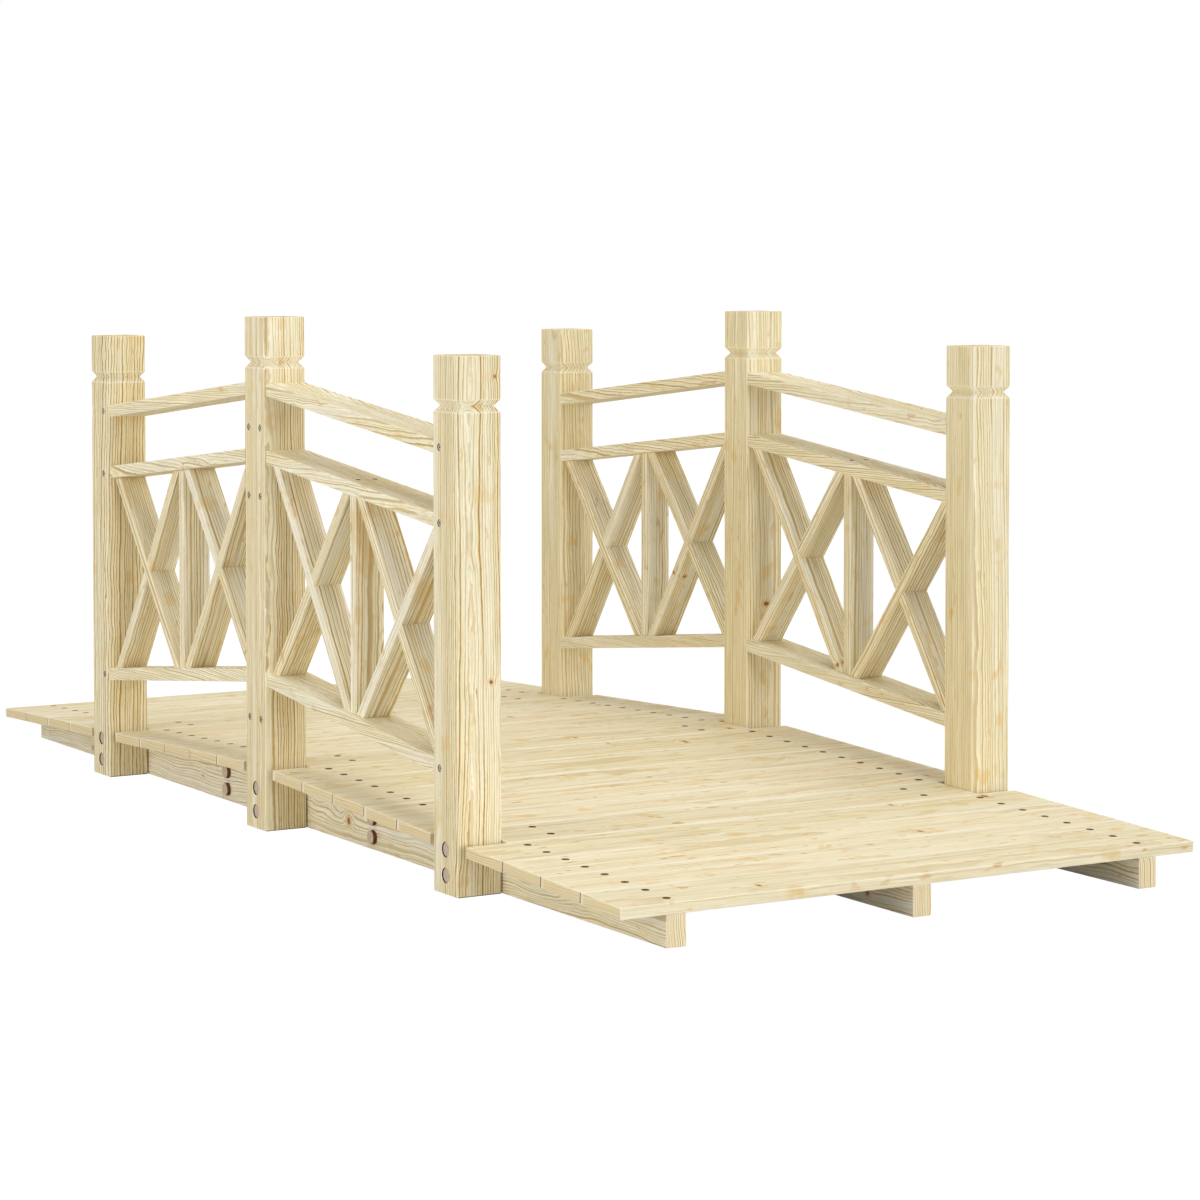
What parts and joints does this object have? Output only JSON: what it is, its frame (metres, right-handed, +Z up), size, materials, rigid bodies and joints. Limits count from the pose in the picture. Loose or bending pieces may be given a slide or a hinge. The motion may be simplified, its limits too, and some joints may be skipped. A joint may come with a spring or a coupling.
{
  "type": "garden moon bridge",
  "caption": "Cambered softwood garden footbridge: plank deck on tapered stringers, grooved square posts, and sloping rails over panels of crossed braces.",
  "frame": {"origin": "on the ground under the middle of the deck", "axes": "+X along the bridge towards its front end, +Y across it towards the right railing, +Z up"},
  "size_m": [1.4998, 0.66, 0.548],
  "materials": {
    "post_timber": "planed softwood, satin",
    "rail_timber": "planed softwood, satin",
    "brace_timber": "planed softwood, satin",
    "deck_timber": "planed softwood, satin",
    "stringer_timber": "planed softwood, satin",
    "bolt_metal": "matt coated steel"
  },
  "bodies": {
    "root": {"left_front_post": "post_timber", "left_middle_post": "post_timber", "left_rear_post": "post_timber", "right_front_post": "post_timber", "right_middle_post": "post_timber", "right_rear_post": "post_timber", "left_top_rails": "rail_timber", "left_middle_rails": "rail_timber", "left_bottom_rails": "rail_timber", "right_top_rails": "rail_timber", "right_middle_rails": "rail_timber", "right_bottom_rails": "rail_timber", "left_front_slat": "brace_timber", "left_front_long_braces": "brace_timber", "left_front_short_braces": "brace_timber", "left_rear_slat": "brace_timber", "left_rear_long_braces": "brace_timber", "left_rear_short_braces": "brace_timber", "right_front_slat": "brace_timber", "right_front_long_braces": "brace_timber", "right_front_short_braces": "brace_timber", "right_rear_slat": "brace_timber", "right_rear_long_braces": "brace_timber", "right_rear_short_braces": "brace_timber", "left_front_stringer": "stringer_timber", "left_rear_stringer": "stringer_timber", "left_splice_board": "stringer_timber", "centre_front_stringer": "stringer_timber", "centre_rear_stringer": "stringer_timber", "centre_splice_board": "stringer_timber", "right_front_stringer": "stringer_timber", "right_rear_stringer": "stringer_timber", "right_splice_board": "stringer_timber", "middle_plank": "deck_timber", "front_bay_planks": "deck_timber", "front_post_plank": "deck_timber", "front_end_planks": "deck_timber", "rear_bay_planks": "deck_timber", "rear_post_plank": "deck_timber", "rear_end_planks": "deck_timber", "left_post_bolts": "bolt_metal", "right_post_bolts": "bolt_metal", "left_stringer_bolts": "bolt_metal", "centre_stringer_bolts": "bolt_metal", "right_stringer_bolts": "bolt_metal"}
  },
  "joints": []
}
